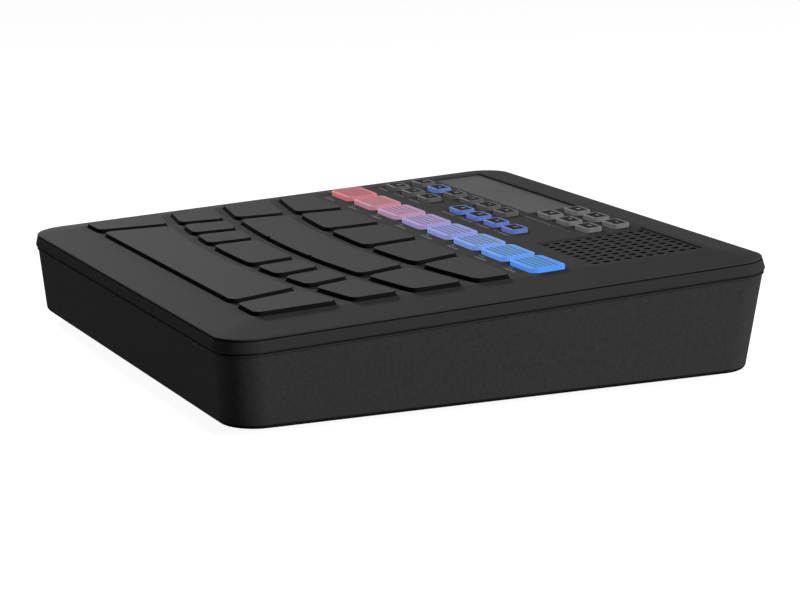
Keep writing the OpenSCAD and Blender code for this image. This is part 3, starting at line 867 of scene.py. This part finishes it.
def rear_wall(build, outer, inner):
    """The rear wall between the lower and upper rings of its two faces, with its slots and jack holes."""

    def rear_run(ring):
        return ring[REAR_STRETCH.start:REAR_STRETCH.stop + 1]

    def wall_y(rings, z):
        a, b = rings[0][0].co / MM, rings[1][0].co / MM
        return a.y + (b.y - a.y) * (z - a.z) / (b.z - a.z)

    outer, inner = [rear_run(ring) for ring in outer], [rear_run(ring) for ring in inner]
    outlines = [circle(x, z, r, HOLE_STEPS) for x, z, r in REAR_HOLES]
    outlines += [rounded_rect(x - w / 2, z - h / 2, x + w / 2, z + h / 2, r, BOX_STEPS)
                 for x, z, w, h, r in REAR_SLOTS]
    outer_holes, inner_holes = [], []
    middle = EDGE_MIDDLE * OPENING_ROUND
    for outline in outlines:
        rings = []
        for grow, depth in ((OPENING_ROUND, 0), (middle, middle), (0, OPENING_ROUND)):
            row = offset(outline, grow)
            rings.append(build.ring([Vector((x, wall_y(outer, z) - depth, z)) for x, z in row]))
        rings.append(build.ring([Vector((x, wall_y(inner, z), z)) for x, z in outline]))
        build.loft(rings)
        outer_holes.append(rings[0])
        inner_holes.append(rings[-1])
    build.fill(outer[0] + outer[1][::-1], outer_holes, rear_flat)
    build.fill(inner[0] + inner[1][::-1], inner_holes, rear_flat)


def level_circle(build, place, r, z, steps):
    return build.ring([Vector((x, y, z)) for x, y in circle(*place, r, steps)])


def bottom_wall(build, outer, inner):
    """The bottom between its two level rings, with the recesses of the feet and the case screws."""
    outer_holes, inner_holes = [], []
    for place in FOOT_PLACES:
        rings = [level_circle(build, place, r, FOOT_H + depth, FOOT_STEPS) for r, depth in FOOT_RECESS]
        build.loft(rings)
        build.cap(rings[-1])
        outer_holes.append(rings[0])
    for place in SCREW_PLACES:
        post_top = DECK_Z + place[1] * math.tan(DECK_TILT) - POST_DROP
        head_z = FOOT_H + SCREW_HEAD_DEPTH
        rows = ((SCREW_HEAD_R + SCREW_HEAD_EDGE, FOOT_H), (SCREW_HEAD_R, FOOT_H + SCREW_HEAD_EDGE),
                (SCREW_HEAD_R, head_z), (SCREW_R, head_z), (SCREW_R, post_top), (POST_R, post_top),
                (POST_R, FLOOR_Z))
        rings = [level_circle(build, place, r, z, HOLE_STEPS) for r, z in rows]
        build.loft(rings)
        outer_holes.append(rings[0])
        inner_holes.append(rings[-1])
    # The bottom face takes the bottom's dark colour: painted shade
    build.fill(outer, outer_holes, bottom_flat, PAINTED_SHADE_SLOT)
    build.fill(inner, inner_holes, bottom_flat)


def make_lower_case():
    build = Build()
    lip_low = -LIP_TOP - LIP_H
    groove_low = lip_low - LIP_GROOVE
    groove_inset = SIDE_STEP + LIP_GROOVE_DEPTH
    tongue_top, tongue_inner = -RIM_H + TONGUE_H, TONGUE + TONGUE_T
    shelf_w = -LIP_TOP - SHELF_T

    outer_low = round_rings(build, 0, FOOT_H, BOTTOM_ROUND)
    outer_high = build.deck_ring(case_outline(SIDE_STEP), groove_low)
    # The lowest strips of the rounded edge are darker: painted shade under the case's edge
    build.loft(outer_low[:PAINTED_SHADE_STRIPS + 1], PAINTED_SHADE_SLOT)
    build.loft(outer_low[PAINTED_SHADE_STRIPS:])
    build.loft([outer_low[-1], outer_high], skip=REAR_STRETCH)
    # From the groove under the lip, over the lip and the ledge, to the tongue behind the rim
    lip = deck_rings(build, [
        (groove_inset, groove_low), (groove_inset, lip_low),
        (LIP_INSET + LIP_EDGE_R, lip_low), (LIP_INSET, lip_low + LIP_EDGE_R),
        (LIP_INSET, -LIP_TOP - LIP_EDGE_R), (LIP_INSET + LIP_EDGE_R, -LIP_TOP),
        (LEDGE_INSET, -LIP_TOP), (LEDGE_INSET, -RIM_H), (TONGUE, -RIM_H), (TONGUE, tongue_top),
        (tongue_inner, tongue_top), (tongue_inner, shelf_w),
    ])
    build.loft([outer_high, *lip])
    inner_high = build.deck_ring(case_outline(SIDE_STEP + TUB_WALL), shelf_w)
    build.loft([lip[-1], inner_high])
    inner_low = round_rings(build, TUB_WALL, FLOOR_Z, FLOOR_ROUND)
    build.loft(inner_low)
    build.loft([inner_low[-1], inner_high], skip=REAR_STRETCH)
    rear_wall(build, (outer_low[-1], outer_high), (inner_low[-1], inner_high))
    bottom_wall(build, outer_low[0], inner_low[0])
    build.done("lower_case_shell", "case", [side_plastic, bottom_painted_shade], ["lower_case"])


# Keys

WALL_SLOT, FACE_SLOT, MARK_SLOT = 0, 1, 2
MARK_T = 0.03
# The sunk fields in the tops of the light pads and buttons, as (inset, depth) rings
LIGHT_FIELD = ((1.3, 0), (1.35, 0.06))
BUTTON_FIELD = ((0.9, 0), (0.95, 0.04))


def key_mesh(node, outline, materials, edge_r, edge_slot=WALL_SLOT, field=(), marks=()):
    """A key with a flange under the deck, a rounded upper edge, and a field and marks on its top."""
    build = Build()
    flange = offset(outline, FLANGE_REACH)
    wall = [build.deck_ring(flange, FLANGE_LOW), build.deck_ring(flange, FLANGE_TOP),
            build.deck_ring(outline, FLANGE_TOP)]
    edge = [build.deck_ring(row, w) for row, w in fillet(outline, edge_r, KEY_TOP)]
    build.cap(wall[0], WALL_SLOT)
    build.loft([*wall, *edge[:-2]], WALL_SLOT)
    build.loft(edge[-3:], edge_slot)
    last, top = edge[-1], KEY_TOP
    for inset, depth in field:
        top = KEY_TOP - depth
        ring = build.deck_ring(offset(outline, -inset), top)
        build.loft([last, ring], WALL_SLOT)
        last = ring
    build.cap(last, FACE_SLOT)
    for mark in marks:
        build.prism(mark, top - MARK_T / 2, top + MARK_T, MARK_SLOT)
    build.done(node + "_cap", node, materials, [node])


def make_drum_pads():
    for i, cell in enumerate(PAD_CELLS, 1):
        outline = cell_outline(cell, (-NOTCH_X, NOTCH_X) if i == NOTCHED_PAD else ())
        # The pads' walls are near black: painted shade of the gaps between them
        key_mesh(f"drum_pad_{i}", outline, [painted_shade_wall, pad_rubber], PAD_EDGE_R, FACE_SLOT)


def make_light_pads():
    for i, place in enumerate(LIGHT_PLACES, 1):
        field, contrast = FIELD_COLOURS[i - 1], FIELD_CONTRAST[i - 1]
        light, dark = scaled(field, 1 + contrast), scaled(field, 1 - contrast)
        body = glowing(f"light_{i}", LIGHT_COLOURS[i - 1], LIGHT_WALL_GLOW)
        face = hatched(f"light_face_{i}", light, dark, place, LIGHT_FACE_GLOW)
        key_mesh(f"light_pad_{i}", light_outline(place), [body, face], LIGHT_EDGE_R,
                 field=LIGHT_FIELD)


ICON_R = 1.1
ICON_SHIFT = 0.6
ICON_KINDS = ("bars", "dot", "minus", "square", "bars", "up", "pair", "square", "up", "bars", "pair",
              "minus", "dot", "back", "play", "pair", "square", "dot", "minus")


def icon_outlines(kind, x, y):
    """A plain generic sign, centred at x and y."""
    r = ICON_R
    signs = {
        "dot": [circle(x, y, r * 0.75, 16)],
        "square": [bar(x, y, r * 1.5, r * 1.5)],
        "play": [[(x - r * 0.8, y - r), (x + r, y), (x - r * 0.8, y + r)]],
        "back": [[(x + r * 0.8, y + r), (x - r, y), (x + r * 0.8, y - r)]],
        "up": [[(x - r, y - r * 0.7), (x + r, y - r * 0.7), (x, y + r * 0.9)]],
        "minus": [bar(x, y, r * 2, r * 0.6)],
        "bars": [bar(x + k * r * 0.9, y, r * 0.45, r * 1.6) for k in (-1, 0, 1)],
        "pair": [bar(x + k * r * 0.6, y, r * 0.5, r * 1.7) for k in (-1, 1)],
    }
    return signs[kind]


def make_buttons():
    for i, (x, y) in enumerate(BUTTON_PLACES, 1):
        lit = i in LIT_BUTTONS
        body = button_blue if lit else button_pale if i in PALE_BUTTONS else button_grey
        marks = icon_outlines(ICON_KINDS[i - 1], x, y + ICON_SHIFT)
        key_mesh(f"button_{i}", button_outline((x, y)), [body, button_face, icon_white],
                 BUTTON_EDGE_R, field=BUTTON_FIELD, marks=marks)


# Printed marks on the deck

STROKE_WIDTHS = (0.5, 0.8, 1.1)
STROKE_GAP = 0.5
# Labels in front of each light pad, as (x from its middle, distance from its front, length, stroke height)
LIGHT_LABELS = ((-5.0, 3.0, 3, 0.9), (-4.5, 5.0, 9, 1.0))
# Labels in front of the first row of buttons, which are shorter at the first few of them
BUTTON_LABEL_X, BUTTON_LABEL_Y, BUTTON_LABEL_H = -6, 3.2, 1.0
SHORT_LABELS, SHORT_LABEL, LONG_LABEL = 3, 9, 12
# The thin line between the display and the right-hand buttons, and the dots that carry it on
LINE_X, LINE_Y, LINE_LENGTH, LINE_W = 12, 64.6, 22, 0.35
DOT_X, DOT_PITCH, DOT_COUNT, DOT_R = 25.5, 2.2, 7, 0.3


def print_mark(build, outline):
    build.prism(outline, DECK_TOP - MARK_T, DECK_TOP + MARK_T)


def label(build, x, y, widths, height):
    """A row of plain strokes, whose left front corner is at x and y."""
    for w in widths:
        print_mark(build, bar(x + w / 2, y + height / 2, w, height))
        x += w + STROKE_GAP


def make_prints():
    build = Build()
    draw = random.Random(7)

    def strokes(length):
        widths = []
        while sum(widths) + STROKE_GAP * len(widths) < length:
            widths.append(draw.choice(STROKE_WIDTHS))
        return widths

    for x, y in LIGHT_PLACES:
        for shift, distance, length, height in LIGHT_LABELS:
            label(build, x + shift, y - LIGHT_D / 2 - distance, strokes(length), height)
    for i, (x, y) in enumerate(BUTTON_PLACES[:FIRST_ROW_BUTTONS]):
        length = SHORT_LABEL if i < SHORT_LABELS else LONG_LABEL
        label(build, x + BUTTON_LABEL_X, y - BUTTON_D / 2 - BUTTON_LABEL_Y, strokes(length), BUTTON_LABEL_H)
    print_mark(build, bar(LINE_X, LINE_Y, LINE_LENGTH, LINE_W))
    for k in range(DOT_COUNT):
        print_mark(build, circle(DOT_X + k * DOT_PITCH, LINE_Y, DOT_R, 10))
    build.done("deck_prints", "case", [print_grey], crisp=True)


# Display window


def make_window():
    build = Build()
    outline = box_outline(DISPLAY, -WINDOW_CLEAR)
    top = DECK_TOP - DISPLAY_SINK
    rings = [build.deck_ring(outline, top - WINDOW_T)]
    rings += [build.deck_ring(row, w) for row, w in fillet(outline, WINDOW_EDGE_R, top, 2)]
    build.cap(rings[0])
    build.loft(rings)
    build.cap(rings[-1])
    build.done("display_window_glass", "case", [window_glass], ["display_window"])


# Nodes of the frame that keep their shape

KEPT_NODES = {
    "display_module": panel_dark, "speaker": paper_cone, "panel_board": board_green,
    "sensor_sheet": film, "key_membrane": silicone, "main_board": board_green,
    "rear_sockets": steel, "battery": wrap, "volume_wheel": knob_plastic,
    "power_slider": knob_plastic, "feet": foot_rubber, "case_screws": dark_steel,
}


def dress_kept_nodes():
    for name, material in KEPT_NODES.items():
        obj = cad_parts[name]
        obj.data.materials.clear()
        obj.data.materials.append(material)


# Stage and light, in metres

FLOOR_REACH = 6.0
FLOOR_DARK, FLOOR_LIGHT = (0.28, 0.28, 0.28), (0.30, 0.30, 0.30)
FLOOR_GLOW = 0.93
WORLD_COLOUR, WORLD_LIGHT = (0.9, 0.95, 1.0), 0.03


def backdrop_ray(nodes, links):
    """1 for a ray from the camera or by way of a gloss or glass, and 0 for one that lights the object."""
    path = nodes.new("ShaderNodeLightPath")
    seen = calculate(nodes, links, "MAXIMUM", path.outputs["Is Camera Ray"], path.outputs["Is Glossy Ray"])
    return calculate(nodes, links, "MAXIMUM", seen, path.outputs["Is Transmission Ray"])


def make_floor():
    reach = FLOOR_REACH
    mesh = bpy.data.meshes.new("floor")
    corners = [(-reach, -reach, 0), (reach, -reach, 0), (reach, reach, 0), (-reach, reach, 0)]
    mesh.from_pydata(corners, [], [(0, 1, 2, 3)])
    floor = bpy.data.objects.new("floor", mesh)
    bpy.context.scene.collection.objects.link(floor)
    material, nodes, links, shader = principled("floor_pale")
    shader.inputs["Roughness"].default_value = 0.9
    shader.inputs["Specular IOR Level"].default_value = 0.0
    slow = noise(nodes, links, grain=400)
    links.new(tinted(nodes, links, slow, FLOOR_DARK, FLOOR_LIGHT), shader.inputs["Base Color"])
    glow = calculate(nodes, links, "MULTIPLY", backdrop_ray(nodes, links), FLOOR_GLOW)
    shader.inputs["Emission Color"].default_value = (1, 1, 1, 1)
    links.new(glow, shader.inputs["Emission Strength"])
    mesh.materials.append(material)


def make_world():
    world = bpy.data.worlds.new("studio")
    bpy.context.scene.world = world
    world.use_nodes = True
    nodes, links = world.node_tree.nodes, world.node_tree.links
    lighting = nodes["Background"]
    lighting.inputs["Color"].default_value = (*WORLD_COLOUR, 1)
    lighting.inputs["Strength"].default_value = WORLD_LIGHT
    white = nodes.new("ShaderNodeBackground")
    white.inputs["Color"].default_value = (1, 1, 1, 1)
    white.inputs["Strength"].default_value = 1.0
    mix = nodes.new("ShaderNodeMixShader")
    links.new(backdrop_ray(nodes, links), mix.inputs[0])
    links.new(lighting.outputs[0], mix.inputs[1])
    links.new(white.outputs[0], mix.inputs[2])
    links.new(mix.outputs[0], nodes["World Output"].inputs["Surface"])


def place_lamp(name, data, power, at, target):
    data.energy = power
    lamp = bpy.data.objects.new(name, data)
    lamp.location = at
    lamp.rotation_mode = "QUATERNION"
    lamp.rotation_quaternion = (Vector(target) - Vector(at)).to_track_quat("-Z", "Y")
    bpy.context.scene.collection.objects.link(lamp)


def area_light(name, at, target, size, power):
    data = bpy.data.lights.new(name, "AREA")
    data.shape = "RECTANGLE"
    data.size, data.size_y = size
    place_lamp(name, data, power, at, target)


def spot_light(name, at, target, cone, radius, power):
    """A soft spot lamp. cone is the full angle of its beam, which fades out from its middle."""
    data = bpy.data.lights.new(name, "SPOT")
    data.spot_size = math.radians(cone)
    data.spot_blend = 1.0
    data.shadow_soft_size = radius
    place_lamp(name, data, power, at, target)


def make_lights():
    area_light("overhead", at=(-0.25, 0.0, 0.65), target=(0, 0, 0.04), size=(0.35, 0.35), power=0.9)
    area_light("right", at=(1.68, 1.38, 0.68), target=(0.1, 0, 0.03), size=(0.8, 0.6), power=59)
    area_light("left_fill", at=(-1.20, -1.10, 0.50), target=(0, 0, 0.03), size=(0.6, 0.6), power=4.2)
    spot_light("left_spot", at=(-4.40, -0.02, 1.60), target=(0, -0.13, 0.04), cone=7.6, radius=0.24,
               power=2000)


make_camera()
make_upper_case()
make_lower_case()
make_drum_pads()
make_light_pads()
make_buttons()
make_prints()
make_window()
dress_kept_nodes()
make_floor()
make_world()
make_lights()

scene = bpy.context.scene
scene.view_settings.view_transform = "Standard"
